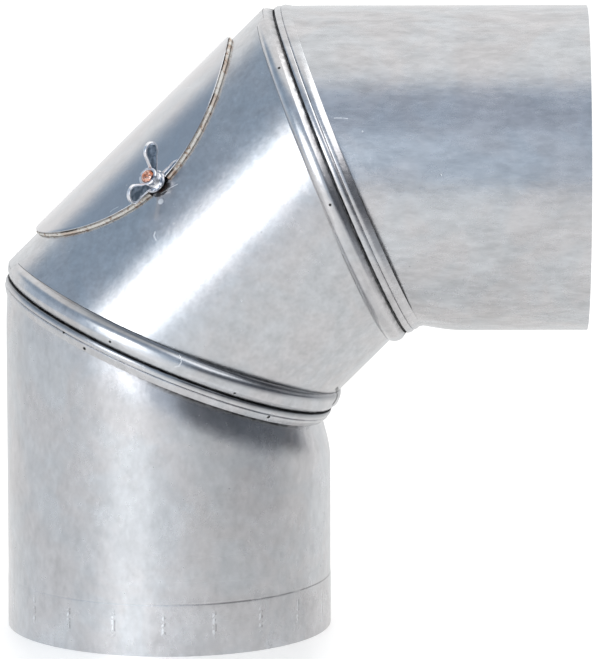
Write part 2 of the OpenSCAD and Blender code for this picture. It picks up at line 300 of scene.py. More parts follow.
def sheet_finish(name, tone, rough, waviness, texture=1.0, lift=1.0, grain_scale=(1, 1, 1), marks=None):
    """Aluminised sheet: warm and cool clouds, mottling and grain that also lift
    the surface a little, painted shade in the grooves, creases, under the lip
    and on the bead flanks, with some sooty deposit in the grooves, pits,
    sparkle and hair scratches. texture scales the finer of these and lift
    their heights; marks gives a piece's own scratches and black specks, and
    its painted highlight, glint and shade marks."""
    f = Finish(name)
    along = f.stretched(grain_scale)
    patches = f.noise(34, 3, 0.6, warp=0.8)
    clouds = f.noise(48, 3, 0.6, warp=0.6)
    mottle = f.noise(150, 2, 0.6, where=along)
    grain = f.noise(430, 2, 0.7, where=along)
    cell = f.node("ShaderNodeTexVoronoi", {"feature": "F1"}, {"Vector": along, "Scale": 520}, out="Color")
    cell = f.node("ShaderNodeSeparateColor", {}, {0: cell})
    shade = (clouds - 0.5) * 0.27 + ((mottle - 0.5) * 0.36 + (grain - 0.5) * 0.22 + (cell - 0.5) * 0.05) * texture
    # This mark is mostly painted shade with some sooty deposit: it blackens the grooves, the creases where the beads
    # meet the walls, and the wall under the lip.
    soot = f.mark("soot")
    specks = f.noise(300, 3, 0.6).ramp(0.36, 0.60)
    grime = soot * soot * (0.8 + 0.2 * specks) + soot * (1 - soot) * specks
    hair = f.noise(3.5, 1, 0.5, where=f.stretched((1, 1, 60), (0.5, 0.9, 0.2)), warp=0.3)
    hair = 1 - ((hair - 0.5) * 700).math("ABSOLUTE", (hair - 0.5) * 700).ramp(0.4, 1.0)
    pale = hair * f.noise(9, 1).ramp(0.56, 0.66) * 0.35
    dots = f.node("ShaderNodeTexVoronoi", {"feature": "F1"}, {"Vector": f.place, "Scale": 90}, out="Distance")
    pick = f.node("ShaderNodeTexVoronoi", {"feature": "F1"}, {"Vector": f.place, "Scale": 90}, out="Color")
    pick = f.node("ShaderNodeSeparateColor", {}, {0: pick})
    dots = 1 - dots.ramp(0.022, 0.045)
    pits, sparks = dots * pick.ramp(0.93, 0.94), dots * (1 - pick.ramp(0.11, 0.12))
    pale = pale.math("MAXIMUM", pale, sparks * 0.8)
    scratched, black, rubbed = marks(f) if marks else (0, 0, 0)
    pale = pale.math("MAXIMUM", pale, scratched)
    # Painted glint: a pale patch, where a piece gives one.
    pale = pale.math("MAXIMUM", pale, mottle.ramp(0.3, 0.6) * rubbed)
    low, high = [tuple(k * t for t in tone) + (1,) for k in (0.86, 1.14)]
    base = f.mixed((0.5 + shade * 2.2), low, high)
    base = f.mixed(patches.ramp(0.36, 0.64), base, f.mixed(1.0, base, (1.03, 0.99, 0.97, 1), "MULTIPLY"))
    # Painted shade: bead flanks are mixed towards a dark blue-grey.
    base = f.mixed(f.mark("film") * 0.68, base, (0.09, 0.105, 0.125, 1))
    base = f.mixed(pale, base, (0.90, 0.91, 0.92, 1))
    # Painted shade with some sooty deposit, pits and the black marks darken the colour here.
    base = f.mixed(grime + pits * 0.8 + black, base, (0.02, 0.02, 0.02, 1))
    roughness = rough + (clouds - 0.5) * 0.10 + (grain - 0.5) * 0.06 + grime * 0.4 + pale * 0.3
    waves = f.noise(9, 1, 0.4)
    bumps = [(waves, waviness), (clouds, 0.08 * lift), (mottle, 0.05 * lift), (grain, 0.024 * lift), (dots, -0.05)]
    return f.finish(base, roughness, bumps=bumps)


def specks_at(f, places, size):
    """1 within size of any of the places, in metres."""
    total = 0
    for place in places:
        off = f.node("ShaderNodeVectorMath", {"operation": "DISTANCE"}, {0: f.place, 1: place}, out="Value")
        total = 1 - off.ramp(size * 0.6, size) + total
    return total.math("MINIMUM", total, 1)


def scratch_at(f, places, size):
    """1 within size of the line that runs through the places, in metres."""
    total = 0
    for a, b in zip(places, places[1:]):
        way = Vector(b) - Vector(a)
        off = f.node("ShaderNodeVectorMath", {"operation": "SUBTRACT"}, {0: f.place, 1: a}, out="Vector")
        t = f.node("ShaderNodeVectorMath", {"operation": "DOT_PRODUCT"}, {0: off, 1: way / way.length_squared}, out="Value")
        t = t.math("MAXIMUM", t, 0)
        t = t.math("MINIMUM", t, 1)
        foot = f.node("ShaderNodeVectorMath", {"operation": "SCALE"}, {0: way, "Scale": t}, out="Vector")
        gap = f.node("ShaderNodeVectorMath", {"operation": "DISTANCE"}, {0: off, 1: foot}, out="Value")
        total = 1 - gap.ramp(size * 0.5, size) + total
    return total.math("MINIMUM", total, 1)


def lower_marks(f):
    """The socket's worn jaw lines and a darker line along its edge, and three black specks on the bead."""
    pale, dark = socket_marks(f)
    specks = specks_at(f, [(-0.0374, -0.0702, 0.1427), (-0.0464, -0.0628, 0.1489), (0.0466, -0.0622, 0.1091)], 0.0011)
    return pale, specks + dark, 0


def middle_marks(f):
    """A curled scratch and specks on the beads, a worm-like mark on the wall, a
    painted reflection line beside the near stud and a painted glint patch below
    it, and painted shade along the hooked bead end at the throat."""
    dark = specks_at(f, [(0.0747, -0.0826, 0.2112), (-0.0254, -0.0768, 0.1472),
                         (0.0517, -0.0535, 0.2693), (0.0312, -0.0754, 0.1230)], 0.0008)
    curl = scratch_at(f, [(0.0036, -0.0750, 0.1444), (0.0048, -0.0764, 0.1429), (0.0065, -0.0808, 0.1414),
                          (0.0071, -0.0823, 0.1389), (0.0060, -0.0826, 0.1371), (0.0042, -0.0827, 0.1367)], 0.0003)
    # Painted reflection: a pale line beside the near stud, painted as a reflection of the cover's edge.
    line = scratch_at(f, [(0.0052, -0.0543, 0.2159), (0.0014, -0.0532, 0.2137), (-0.0023, -0.0523, 0.2113)], 0.0003)
    worm = scratch_at(f, [(-0.0049, -0.0607, 0.1950), (-0.0054, -0.0613, 0.1933), (-0.0045, -0.0626, 0.1916)], 0.0004)
    # Painted shade: a dark crescent along the hooked end of the bead at the throat.
    nick = scratch_at(f, [(0.0778, -0.0250, 0.1154), (0.0782, -0.0163, 0.1123), (0.0782, -0.0166, 0.1107),
                          (0.0779, -0.0187, 0.1095), (0.0771, -0.0211, 0.1083), (0.0762, -0.0233, 0.1076)], 0.0012)
    # Painted glint: a pale patch on the tube below the near stud.
    rubbed = specks_at(f, [(-0.0024, -0.0545, 0.2080)], 0.0017)
    pale = curl.math("MAXIMUM", curl * 0.9, worm * 0.7)
    return pale.math("MAXIMUM", pale, line * 0.8), dark + nick, rubbed


def upper_marks(f):
    """One scratch across the wall beside the seam."""
    line = scratch_at(f, [(0.0739, -0.0658, 0.2496), (0.0766, -0.0665, 0.2484), (0.0802, -0.0666, 0.2484),
                          (0.0838, -0.0668, 0.2480)], 0.0003)
    return line * f.noise(700, 2).ramp(0.40, 0.55) * 0.8, 0, 0


def socket_marks(f):
    """Worn lines that the expander's twenty jaws leave in the socket, each a
    pale line beside a dark one, and a darker line along part of the socket's edge."""
    x, y, z = f.split(f.place)
    turn = y.math("ARCTAN2", y, x) * (20 / (2 * np.pi)) + 0.59
    turn = turn.math("FRACT", turn) - 0.5
    line = 1 - turn.math("ABSOLUTE", turn).ramp(0.01, 0.04)
    beside = turn - 0.045
    beside = 1 - beside.math("ABSOLUTE", beside).ramp(0.006, 0.03)
    reach = z.ramp(0.008, 0.011) * (1 - z.ramp(0.018, 0.0225)) * f.noise(640, 2).ramp(0.46, 0.56)
    # A darker line along part of the socket's edge, over its small groove.
    edge = z - SOCKET_MARK / 1000
    edge = 1 - edge.math("ABSOLUTE", edge).ramp(0.0001, 0.0005)
    edge = edge * x.ramp(-0.02, 0.05) * f.noise(60, 2).ramp(0.30, 0.50) * 0.5
    return line * reach * 0.9, beside * reach * 0.35 + edge


ZINC = (0.585, 0.60, 0.62)
lower_sheet = sheet_finish("lower_sheet", ZINC, 0.26, 0.8, 1.5, 0.9, (1, 1, 0.7), lower_marks)


def groove_soot(along, shift):
    """1 in the groove between the beads, falling away at once: the mask for the
    groove's painted shade, with some sooty deposit. The upper seam, which is
    shifted, has the wider groove."""
    return np.clip(2.6 + 1.6 * shift - np.abs(along - shift + 3.7) / 0.2, 0, 1)


def seam_place(points, leg):
    """Distance of points of a tube's own frame along the seam's axis."""
    return np.sin(MITRE) * points[..., 0] + np.cos(MITRE) * (points[..., 2] - leg)


def make_end_tube(name, leg, draw, neck, step, shift, origin, x, y, z, body, sheet):
    pts = end_tube(leg, draw, neck, step, shift)
    faces, uv = ring_faces(*pts.shape[:2])
    along = seam_place(pts, leg)
    # Painted shade: a dark band on the wall just under the lip, over part of the way round, where the lip's shade
    # falls.
    under = (along < LIP_LO + 0.1) * np.clip((along - LIP_LO + (0.5 if shift else 1.9)) / 0.4, 0, 1)
    under = under * np.clip(1 + pts[..., 0] / 25, 0, 1) * np.clip((66 - pts[..., 0]) / 14, 0, 1)
    soot = np.maximum(groove_soot(along, shift), 0.85 * under)
    # Painted shade on the upper flank of the lower tube's second bead.
    flank = (not shift) * (along > CREASE_W) * np.clip((along - BEAD_2_HI + 2.6) / 2.0, 0, 1)
    ob = mesh_piece(name, placed(pts, origin, x, y, z), faces, uv, soot=soot, film=flank)
    ob.data.materials.append(sheet)
    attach(ob, body)
    return ob


lower = make_end_tube("lower_tube", LEG_LOW, 3.9, 2.4, 0.5 * SOCKET_STEP, 0.0, (0, 0, 0), (1, 0, 0), (0, 1, 0), (0, 0, 1), "lower", lower_sheet)
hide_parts("lower_segment")

# Middle tube
# A short mitred piece of the same sheet between the two seams. Each end is
# rolled over the collar of its neighbour as a round bead, so the seam can
# turn, and an oval opening for cleaning is cut in the outside of the bend.
LEG_MID = 108.1
BEAD_TOP = 6.7
UNDER_RUN, OVER_EASE = 2.9, 5.0
HATCH_POWER = 1.9
OPEN_L, OPEN_W = 50.5, 43.8
MIDDLE_ROWS = 88
MIDDLE_AROUND = 288
DIAG = np.sqrt(0.5)
MID_FRAME = ((0, 0, LEG_LOW), (DIAG, 0, -DIAG), (0, 1, 0), (DIAG, 0, DIAG))


def half_middle(skin, shift):
    """From the rolled edge in the groove over the bead to the wall, as points
    [angle, place], and the height where the wall starts. The bead's far side
    is a parabola, and it ends where the wall's line crosses it."""
    c, s = np.cos(MITRE), np.sin(MITRE)
    th = np.linspace(0, 2 * np.pi, MIDDLE_AROUND, endpoint=False)[:, None]
    r, top, hi = TUBE_R - skin, OUTER_CROWN - skin, BEAD_TOP - skin
    t = np.linspace(0, 1, 400)
    w = hi - OVER_EASE * (1 - t) ** 2
    z = (w + s * r * np.cos(th)) / c
    rho = np.hypot(c * r * np.cos(th) + s * z - SEAM_SHIFT, r * np.sin(th))
    over = top - OVER_EASE * t * t - rho < 0
    cross = np.where(over.any(1), t[np.argmax(over, 1)], 1.0)[:, None]
    w = hi - OVER_EASE * (1 - cross) ** 2
    z = (w + s * r * np.cos(th)) / c
    sx, y = c * r * np.cos(th) + s * z - SEAM_SHIFT, r * np.sin(th)
    psi = np.arctan2(y, sx)
    edge, edge_w = EDGE_R - skin, EDGE_W + shift
    start = [(edge, edge_w), (edge, edge_w + SHEET)] if skin else [(edge - 0.2, edge_w), (edge, edge_w + 0.2)]
    low = eased(start + [(top, edge_w + UNDER_RUN + skin / 2, 0.8, 1.4), (top, hi - OVER_EASE)], 16)
    q = cross * np.linspace(0, 1, 14)[1:]
    pr = np.concatenate([np.broadcast_to(low[:, 0], (len(th), len(low))), top - OVER_EASE * q * q], 1)
    pw = np.concatenate([np.broadcast_to(low[:, 1], (len(th), len(low))), hi - OVER_EASE * (1 - q) ** 2], 1)
    px, py = pr * np.cos(psi) + SEAM_SHIFT, pr * np.sin(psi)
    return np.stack([c * px - s * pw, py, s * px + c * pw], -1), z, pw


def middle_surface(skin):
    bead, z0, along = half_middle(skin, 0.0)
    other, z1, along_2 = half_middle(skin, UP_SHIFT)
    th = np.linspace(0, 2 * np.pi, MIDDLE_AROUND, endpoint=False)[:, None]
    g = np.linspace(0, 1, MIDDLE_ROWS)
    g = g - 0.85 * np.sin(2 * np.pi * g) / (2 * np.pi)
    z = z0 + (LEG_MID - z0 - z1) * g
    r = TUBE_R - skin
    far = other[:, ::-1] * (1, 1, -1) + (0, 0, LEG_MID)
    return bead, th + 0 * z, z, r, far, along, along_2[:, ::-1]


def middle_tube():
    """Both surfaces as one closed loop round each section. Points of the wall
    beside the oval opening are moved out along its radius onto its edge, and
    the faces inside it are left out and closed by a rim across the sheet."""
    rows = []
    for skin in (0.0, SHEET):
        bead, th, z, r, far, along, along_2 = middle_surface(skin)
        round_by = TUBE_R * (th - np.pi)
        run = z - LEG_MID / 2
        size = (np.abs(run) / OPEN_L) ** HATCH_POWER + (np.abs(round_by) / OPEN_W) ** HATCH_POWER
        cell = (size[:, :-1] + size[:, 1:] + np.roll(size, -1, 0)[:, :-1] + np.roll(size, -1, 0)[:, 1:]) / 4
        if skin == 0:
            gone = cell < 1
        pad = np.pad(gone, ((0, 0), (1, 1)))
        touch = pad | np.roll(pad, 1, 0)
        near = touch[:, :-1] | touch[:, 1:]
        cells = pad.astype(int) + np.roll(pad, 1, 0)
        count = cells[:, :-1] + cells[:, 1:]
        edge = near & (count < 4)
        pull = np.where(edge, size ** (-1 / HATCH_POWER), 1.0)
        th2 = np.pi + round_by * pull / TUBE_R
        z2 = LEG_MID / 2 + run * pull
        wall = np.stack([r * np.cos(th2), r * np.sin(th2), z2], -1)
        rows.append((bead, wall, far, groove_soot(along, 0), groove_soot(along_2, UP_SHIFT)))
    (b0, w0, f0, a0, c0), (b1, w1, f1, a1, c1) = rows
    pts = np.concatenate([b0, w0, f0, f1[:, ::-1], w1[:, ::-1], b1[:, ::-1]], 1)
    soot = np.concatenate([a0, 0 * w0[..., 0], c0, c1[:, ::-1], 0 * w1[..., 0], a1[:, ::-1]], 1)
    n, m = pts.shape[:2]
    nb, nw = b0.shape[1], w0.shape[1]
    faces, uv = ring_faces(n, m)
    keep = np.ones((n, m), bool)
    keep[:, nb:nb + nw - 1] &= ~gone
    first_in = nb + nw + nb + nb
    keep[:, first_in:first_in + nw - 1] &= ~gone[:, ::-1]
    rim = []
    i, j = np.nonzero(gone)
    i2 = (i + 1) % n

    def corner(k, row, inside):
        return k * m + (first_in + nw - 1 - row if inside else nb + row)

    for di, dj, (pa, pb) in ((-1, 0, ((0, 0), (0, 1))), (1, 0, ((1, 1), (1, 0))), (0, -1, ((1, 0), (0, 0))), (0, 1, ((0, 1), (1, 1)))):
        side = ~gone[(i + di) % n, j + dj]
        a = ((i + pa[0]) % n)[side], (j + pa[1])[side]
        b = ((i + pb[0]) % n)[side], (j + pb[1])[side]
        rim.append(np.stack([corner(b[0], b[1], False), corner(a[0], a[1], False), corner(a[0], a[1], True), corner(b[0], b[1], True)], -1))
    rim = np.vstack(rim)
    faces = np.vstack([faces[keep.ravel()], rim])
    uv = np.vstack([uv.reshape(-1, 4, 2)[keep.ravel()].reshape(-1, 2), np.zeros((4 * len(rim), 2))])
    return pts, faces, uv, soot


pts, faces, uv, soot = middle_tube()
nb = (pts.shape[1] - 2 * MIDDLE_ROWS) // 4
film = np.zeros(soot.shape)
# Painted shade on the flank of the lower bead towards the wall, faded out towards the heel.
film[:, nb - 13:nb] = 0.8 * np.clip(np.linspace(0, 1, 14)[1:] / 0.4 - 0.4, 0, 1)
film *= np.clip((pts[..., 0] + 66) / 30, 0, 1)
# Painted shade: dark lines where each bead meets the wall.
soot[:, [nb - 1, nb, nb + MIDDLE_ROWS - 1, nb + MIDDLE_ROWS]] = 0.9
middle = mesh_piece("middle_tube", placed(pts, *MID_FRAME), faces, uv, soot=soot, film=film)
middle.data.materials.append(sheet_finish("middle_sheet", ZINC, 0.25, 0.8, 1.7, 0.9, marks=middle_marks))
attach(middle, "middle")
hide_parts("middle_segment")

# Upper tube
# The same piece as the lower tube with a plain rim, held by its collar in the
# middle tube's second bead. A pipe goes into it or over it.
LEG_UP = 117.1
RIM_2 = (LEG_MID * DIAG + LEG_UP, 0, LEG_LOW + LEG_MID * DIAG)
upper_sheet = sheet_finish("upper_sheet", ZINC, 0.27, 0.8, 2.1, 1.5, (0.4, 1, 1), upper_marks)
upper = make_end_tube("upper_tube", LEG_UP, 2.4, 0.5, 0.0, UP_SHIFT, RIM_2, (0, 0, -1), (0, -1, 0), (-1, 0, 0), "upper", upper_sheet)
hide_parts("upper_segment")

# Hatch gasket
# An oval ring cut from cream mineral-fibre board, pressed between the cover
# and the tube. It is notched at each stud, where the stud's weld flange is.
GASKET_T, COVER_T = 1.8, 0.7
COVER_IN, COVER_OUT = TUBE_R + GASKET_T, TUBE_R + GASKET_T + COVER_T
COVER_L, COVER_W = 63.0, 56.3
GASKET_PROUD, GASKET_BAND = 0.5, 11.0
STUD_SHIFT, STUD_INSET = -2.0, 2.0
STUD_ANGLE = (COVER_W - STUD_INSET) / COVER_OUT
NOTCH_HALF, NOTCH_IN = 5.6, 5.0


def oval_point(half_l, half_w, a):
    """Superellipse of power 1.9: cos and sin of a raised to 2 / 1.9."""
    c, s = np.cos(a), np.sin(a)
    e = 2 / HATCH_POWER
    return np.stack([half_l * np.sign(c) * np.abs(c) ** e, half_w * np.sign(s) * np.abs(s) ** e], -1)


def cut_outline(half_l, half_w, half_cut, cut):
    """The oval's outline as flat points (along, round), opened at both studs.
    cut is the outline of one cut, from its +x side to its -x side. Returns the
    points and the oval's angle that each one goes with."""
    def angle_at(x):
        return np.arccos(np.sign(x) * np.abs(x / half_l) ** (HATCH_POWER / 2))
    a1, a2 = angle_at(STUD_SHIFT + half_cut), angle_at(STUD_SHIFT - half_cut)
    ease = (1 - np.cos(np.linspace(0, np.pi, 81))) / 2
    left = a1 * np.linspace(0, 1, 81) ** 0.8
    right = np.pi - (np.pi - a2) * np.linspace(1, 0, 81) ** 0.8
    a = np.concatenate([left, np.linspace(a1, a2, len(cut) + 2)[1:-1], right])
    top = np.concatenate([oval_point(half_l, half_w, left), cut, oval_point(half_l, half_w, right)])
    return np.concatenate([top, top[-2:0:-1] * (1, -1)]), np.concatenate([a, -a[-2:0:-1]])


def bent(flat, r, r_ref):
    """Flat points (along, round) laid on the middle tube at radius r."""
    phi = flat[..., 1] / r_ref
    r = np.broadcast_to(r, phi.shape)
    return np.stack([-r * np.cos(phi), -r * np.sin(phi), LEG_MID / 2 + flat[..., 0]], -1)


limit = COVER_IN * (STUD_ANGLE - np.arcsin(NOTCH_IN / COVER_IN))
across = np.linspace(NOTCH_HALF, -NOTCH_HALF, 20)
notch = np.stack([STUD_SHIFT + across, limit + 0 * across], 1)
outline, a = cut_outline(COVER_L + GASKET_PROUD, COVER_W + GASKET_PROUD, NOTCH_HALF, notch)
inner_line = oval_point(COVER_L - GASKET_BAND, COVER_W - GASKET_BAND, a)
ragged = np.sin(a * 41 + 1.3) * 0.05 + np.sin(a * 97) * 0.04 + np.sin(a * 17 + 0.4) * 0.05
band = np.array([0, 0.5, 0.96, 1.0, 1.006, 1.008, 1.006, 0.995, 0.96, 0.93, 0.5, 0.0])
height = np.array([0, 0, 0, 0.1, 0.45, 0.9, 1.25, 1.5, 1.68, 1.8, 1.8, 1.8])
# The gasket's foot on the tube and its top just under the cover's edge are darkened: painted shade in those gaps, with
# some dirty grease.
dirt = np.array([0, 0, 1, 0.8, 0.1, 0, 0, 0.25, 1, 1, 0, 0])
swell = 1 + ragged[:, None] * (band > 0.98) / 57
flat = inner_line[:, None] + (outline * swell[:, 4:5] - inner_line)[:, None] * band[None, :, None]
pts = bent(flat, TUBE_R + height, COVER_IN)
faces, uv = ring_faces(*pts.shape[:2])
gasket = mesh_piece("gasket", placed(pts, *MID_FRAME), faces[:, ::-1], uv[::-1], sharp=50, dirt=dirt)

f = Finish("gasket_fibre")
fleck = f.noise(560, 3, 0.6).ramp(0.54, 0.62)
patch = f.noise(110, 3, 0.6).ramp(0.45, 0.60)
fibre = f.noise(260, 4, 0.7, where=f.stretched((1, 1, 3)))
base = f.mixed(fibre, (0.88, 0.81, 0.70, 1), (1.0, 0.97, 0.91, 1))
base = f.mixed(fleck * 0.75, base, (0.42, 0.22, 0.12, 1))
base = f.mixed(patch * 0.45, base, (0.62, 0.40, 0.26, 1))
# Painted shade, with some dirty grease, at the gasket's foot and under the cover's edge.
base = f.mixed(f.mark("dirt") * (0.6 + 0.4 * patch), base, (0.05, 0.04, 0.035, 1))
gasket.data.materials.append(f.finish(base, 0.9, 0.0, bumps=[(fibre, 0.35), (fleck, 0.1)]))
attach(gasket, "middle")
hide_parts("hatch_gasket")

# Hatch cover
# An oval of bright sheet bent to the tube, with an open slot at each stud.
# Its sheared edge is a little rounded, and the sheet keeps its mill finish.
SLOT_HALF, EDGE_ROUND = 3.4, 0.32
turn = np.linspace(0, np.pi, 25)
slot = np.stack([STUD_SHIFT + SLOT_HALF * np.cos(turn), COVER_OUT * STUD_ANGLE - SLOT_HALF * np.sin(turn)], 1)
outline, a = cut_outline(COVER_L, COVER_W, SLOT_HALF, slot)


def inset(line, by):
    """A closed flat outline moved inwards along its own normal."""
    run = np.roll(line, -1, 0) - np.roll(line, 1, 0)
    normal = np.stack([-run[:, 1], run[:, 0]], 1) / np.linalg.norm(run, axis=1)[:, None]
    return line + by * normal


def cover_marks(f):
    """A short fine scratch beside the near nut."""
    scratch = scratch_at(f, [(-0.0257, -0.0446, 0.2015), (-0.0239, -0.0450, 0.2029), (-0.0220, -0.0458, 0.2040)], 0.0003)
    return scratch * 0.7, 0, 0


shrunk = oval_point(COVER_L * 0.8, COVER_W * 0.8, a)
rings = [shrunk * t for t in np.linspace(0, 1, 22)]
rim_in = inset(outline, EDGE_ROUND)
rings += [shrunk + (rim_in - shrunk) * t for t in np.linspace(0, 1, 9)[1:]]
body = len(rings)
bow = np.radians([18, 36, 54, 72, 90])
rings += [inset(outline, EDGE_ROUND * (1 - np.sin(b))) for b in bow]
flat = np.stack(rings, 1)
r_top = np.concatenate([np.full(body, COVER_OUT), COVER_OUT - EDGE_ROUND * (1 - np.cos(bow))])
pts = np.concatenate([bent(flat, r_top, COVER_OUT), bent(flat, 2 * COVER_IN + COVER_T - r_top, COVER_OUT)[:, ::-1]], 1)
faces, uv = ring_faces(*pts.shape[:2], closed=False)
cover = mesh_piece("cover", placed(pts, *MID_FRAME), faces[:, ::-1], uv[::-1], sharp=50)
cover.data.materials.append(sheet_finish("cover_sheet", (0.60, 0.615, 0.64), 0.08, 0.25, 0.6, 0.6, marks=cover_marks))
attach(cover, "middle")
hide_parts("hatch_cover")

# Studs
# Two copper-plated M6 weld studs. The flange is welded to the tube, and the
# rolled thread ends in a low dome, which shows in the middle of each nut.
STUD_R, PITCH, THREAD_DEEP = 3.0, 1.0, 0.32
FLANGE_R, FLANGE_T = 3.8, 0.7
NUT_SEAT, HUB_H = 0.1, 6.2
SHANK = GASKET_T + COVER_T + HUB_H + 0.6


def stud_frame(side):
    """Origin on the middle tube's axis; x along the tube, y towards the
    hatch's middle line, z out along the stud, in the middle tube's frame."""
    ca, sa = np.cos(STUD_ANGLE), np.sin(STUD_ANGLE)
    z = np.array([-ca, -side * sa, 0])
    x = np.array([0, 0, side])
    return np.array([0, 0, LEG_MID / 2 + STUD_SHIFT]), x, np.cross(z, x), z


def on_stud(points, side):
    """Points of the stud's frame brought into the object's frame."""
    origin, x, y, z = stud_frame(side)
    return placed(placed(points, origin, x, y, z), *MID_FRAME)


def stud_points():
    """Round the axis by height: the flange's radius, then the thread's, which
    is the stud's less a cosine of the angle plus the height over the pitch,
    then a dome. The foot follows the tube."""
    a = np.linspace(0, 2 * np.pi, 72, endpoint=False)[:, None]
    h = np.concatenate([[0, 0.05, 0.25, 0.55, FLANGE_T], np.linspace(FLANGE_T + 0.02, SHANK - 0.5, 150)])
    foot = FLANGE_R - np.array([0.75, 0.63, 0.6, 0.62, 0.75])
    r = np.where(h < FLANGE_T + 0.01, np.interp(h, h[:5], foot), STUD_R)
    fade = np.clip((h - FLANGE_T - 0.3) / 0.6, 0, 1) * np.clip((SHANK - 0.6 - h) / 0.5, 0, 1)
    wave = 0.5 - 0.5 * np.cos(2 * np.pi * h / PITCH - a)
    r = r - THREAD_DEEP * fade * wave ** 0.8
    q = np.linspace(0, np.pi / 2, 12)[1:]
    cap_r, cap_h = (STUD_R - 0.02) * np.cos(q) ** 0.8, SHANK - 0.5 + 1.3 * np.sin(q)
    r = np.concatenate([0 * a, r, np.broadcast_to(cap_r, (72, 11))], 1)
    h = np.concatenate([[0], h, cap_h]) + 0 * a
    x, y = r * np.cos(a), r * np.sin(a)
    foot_z = np.sqrt(TUBE_R ** 2 - y * y)
    keep = np.clip(h / FLANGE_T, 0, 1)
    z = foot_z * (1 - keep) + (TUBE_R + h) * keep
    # The second value marks the stud up to 2.2 mm from its foot, which is painted near black as shade in the dark gap
    # under the cover.
    return np.stack([x, y, z], -1), 1 - np.clip((h - 2.2) / 0.8, 0, 1)


f = Finish("copper_plate")
tarnish = f.noise(420, 3, 0.6, warp=0.8)
facet = f.node("ShaderNodeTexVoronoi", {"feature": "F1"}, {"Vector": f.place, "Scale": 620}, out="Distance")
stain = f.noise(760, 2, 0.5).ramp(0.50, 0.62)
base = f.mixed(tarnish.ramp(0.35, 0.65), (0.62, 0.20, 0.10, 1), (0.97, 0.66, 0.55, 1))
base = f.mixed(stain * 0.7, base, (0.16, 0.04, 0.02, 1))
# Painted shade: the stud's foot is near black and rougher.
base = f.mixed(f.mark("burnt"), base, (0.006, 0.005, 0.005, 1))
copper = f.finish(base, 0.20 + f.mark("burnt") * 0.4, bumps=[(facet, 0.5), (tarnish, 0.15)])
for side, name in ((1, "near_stud"), (-1, "far_stud")):
    pts, burnt = stud_points()
    faces, uv = ring_faces(*pts.shape[:2], closed=False)
    stud = mesh_piece(name + "_thread", on_stud(pts, side), faces, uv, sharp=60, burnt=burnt)
    stud.data.materials.append(copper)
    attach(stud, "middle")
    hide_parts(name)

# Wing nuts
# Two bright zinc-plated wing nuts, cast in one piece: a low flange, a round
# hub that ends in a ring, and two flat wings with rounded ears. They turn on
# the studs and clamp the cover.
NUT_BASE_R, NUT_TOP_R, NUT_FOOT = 5.6, 4.2, 1.2
EAR_R, NUT_SPAN, NUT_H, WING_HALF = 4.5, 30.5, 14.4, 1.0
BORE_R = STUD_R + 0.12
WING_RIM, WING_DEEP = 0.75, 0.3


def hub_points():
    """A closed section turned about the stud's axis: base, cone, ring, bore."""
    section = eased([(NUT_BASE_R, 0, 0.15, 0.15), (NUT_BASE_R, NUT_FOOT, 0.4, 0.4), (NUT_TOP_R - 0.1, NUT_FOOT + 0.4, 0.6, 1.2),
                     (NUT_TOP_R - 0.35, HUB_H - 2.1, 0.6, 0.3), (NUT_TOP_R + 0.35, HUB_H - 1.3, 0.4, 0.5),
                     (NUT_TOP_R + 0.35, HUB_H, 0.7, 0.65), (BORE_R, HUB_H, 0.5, 0.5), (BORE_R, 0, 0.2, 0.2)], 6)
    a = np.linspace(0, 2 * np.pi, 96, endpoint=False)[:, None]
    r, z = section[:, 0], section[:, 1] + 0 * a
    return np.stack([r * np.cos(a), r * np.sin(a), z], -1)


def wing_points(half_turn):
    """A flat wing: its two outlines run straight from the hub to the ear, then
    meet round the ear's circle. Between them the section is a superellipse of
    power 5 across the wing's thickness, recessed inside a raised rim."""
    ear = np.array([NUT_SPAN / 2 - EAR_R, NUT_H - EAR_R])
    root = STUD_R + 0.45
    s = np.linspace(0, 1, 14)[:, None]
    low_a, high_a, meet = np.radians(-83), np.radians(143), np.radians(33)
    q = np.linspace(0, 1, 34)[1:, None]
    q = 1 - (1 - q) ** 1.6
    def round_ear(a):
        return ear + EAR_R * np.concatenate([np.cos(a), np.sin(a)], 1)
    low = np.concatenate([np.array([root, NUT_FOOT / 2]) * (1 - s) + round_ear(np.array([[low_a]])) * s, round_ear(low_a + (meet - low_a) * q)])
    high = np.concatenate([np.array([root, HUB_H - NUT_FOOT / 2]) * (1 - s) + round_ear(np.array([[high_a]])) * s, round_ear(high_a + (meet - high_a) * q)])
    t = np.linspace(0, 2 * np.pi, 72, endpoint=False)
    e = 2 / 5
    across = np.sign(np.cos(t)) * np.abs(np.cos(t)) ** e
    thick = np.sign(np.sin(t)) * np.abs(np.sin(t)) ** e
    mid, half = (low + high) / 2, (high - low) / 2
    xz = mid[:, None] + half[:, None] * across[None, :, None]
    end = np.concatenate([0 * s, q])[:, 0]
    reach = np.linalg.norm(half, axis=1)[:, None] * (1 - np.abs(across))
    round_edge = EAR_R - np.linalg.norm(xz - ear, axis=-1)
    reach = np.where(xz[..., 0] > ear[0], np.minimum(reach, round_edge), reach)
    inside = np.clip((reach - WING_RIM) / 0.45, 0, 1)
    sunk = inside * inside * (3 - 2 * inside)
    y = (WING_HALF * (1 - end ** 14)[:, None] - WING_DEEP * sunk) * thick
    pts = np.stack([half_turn * xz[..., 0], half_turn * y, xz[..., 1]], -1)
    pts = np.concatenate([np.broadcast_to(pts[:1].mean(1, keepdims=True), (1, 72, 3)), pts])
    return pts, np.concatenate([sunk[:1], sunk]) * (np.abs(thick) > 0.9)


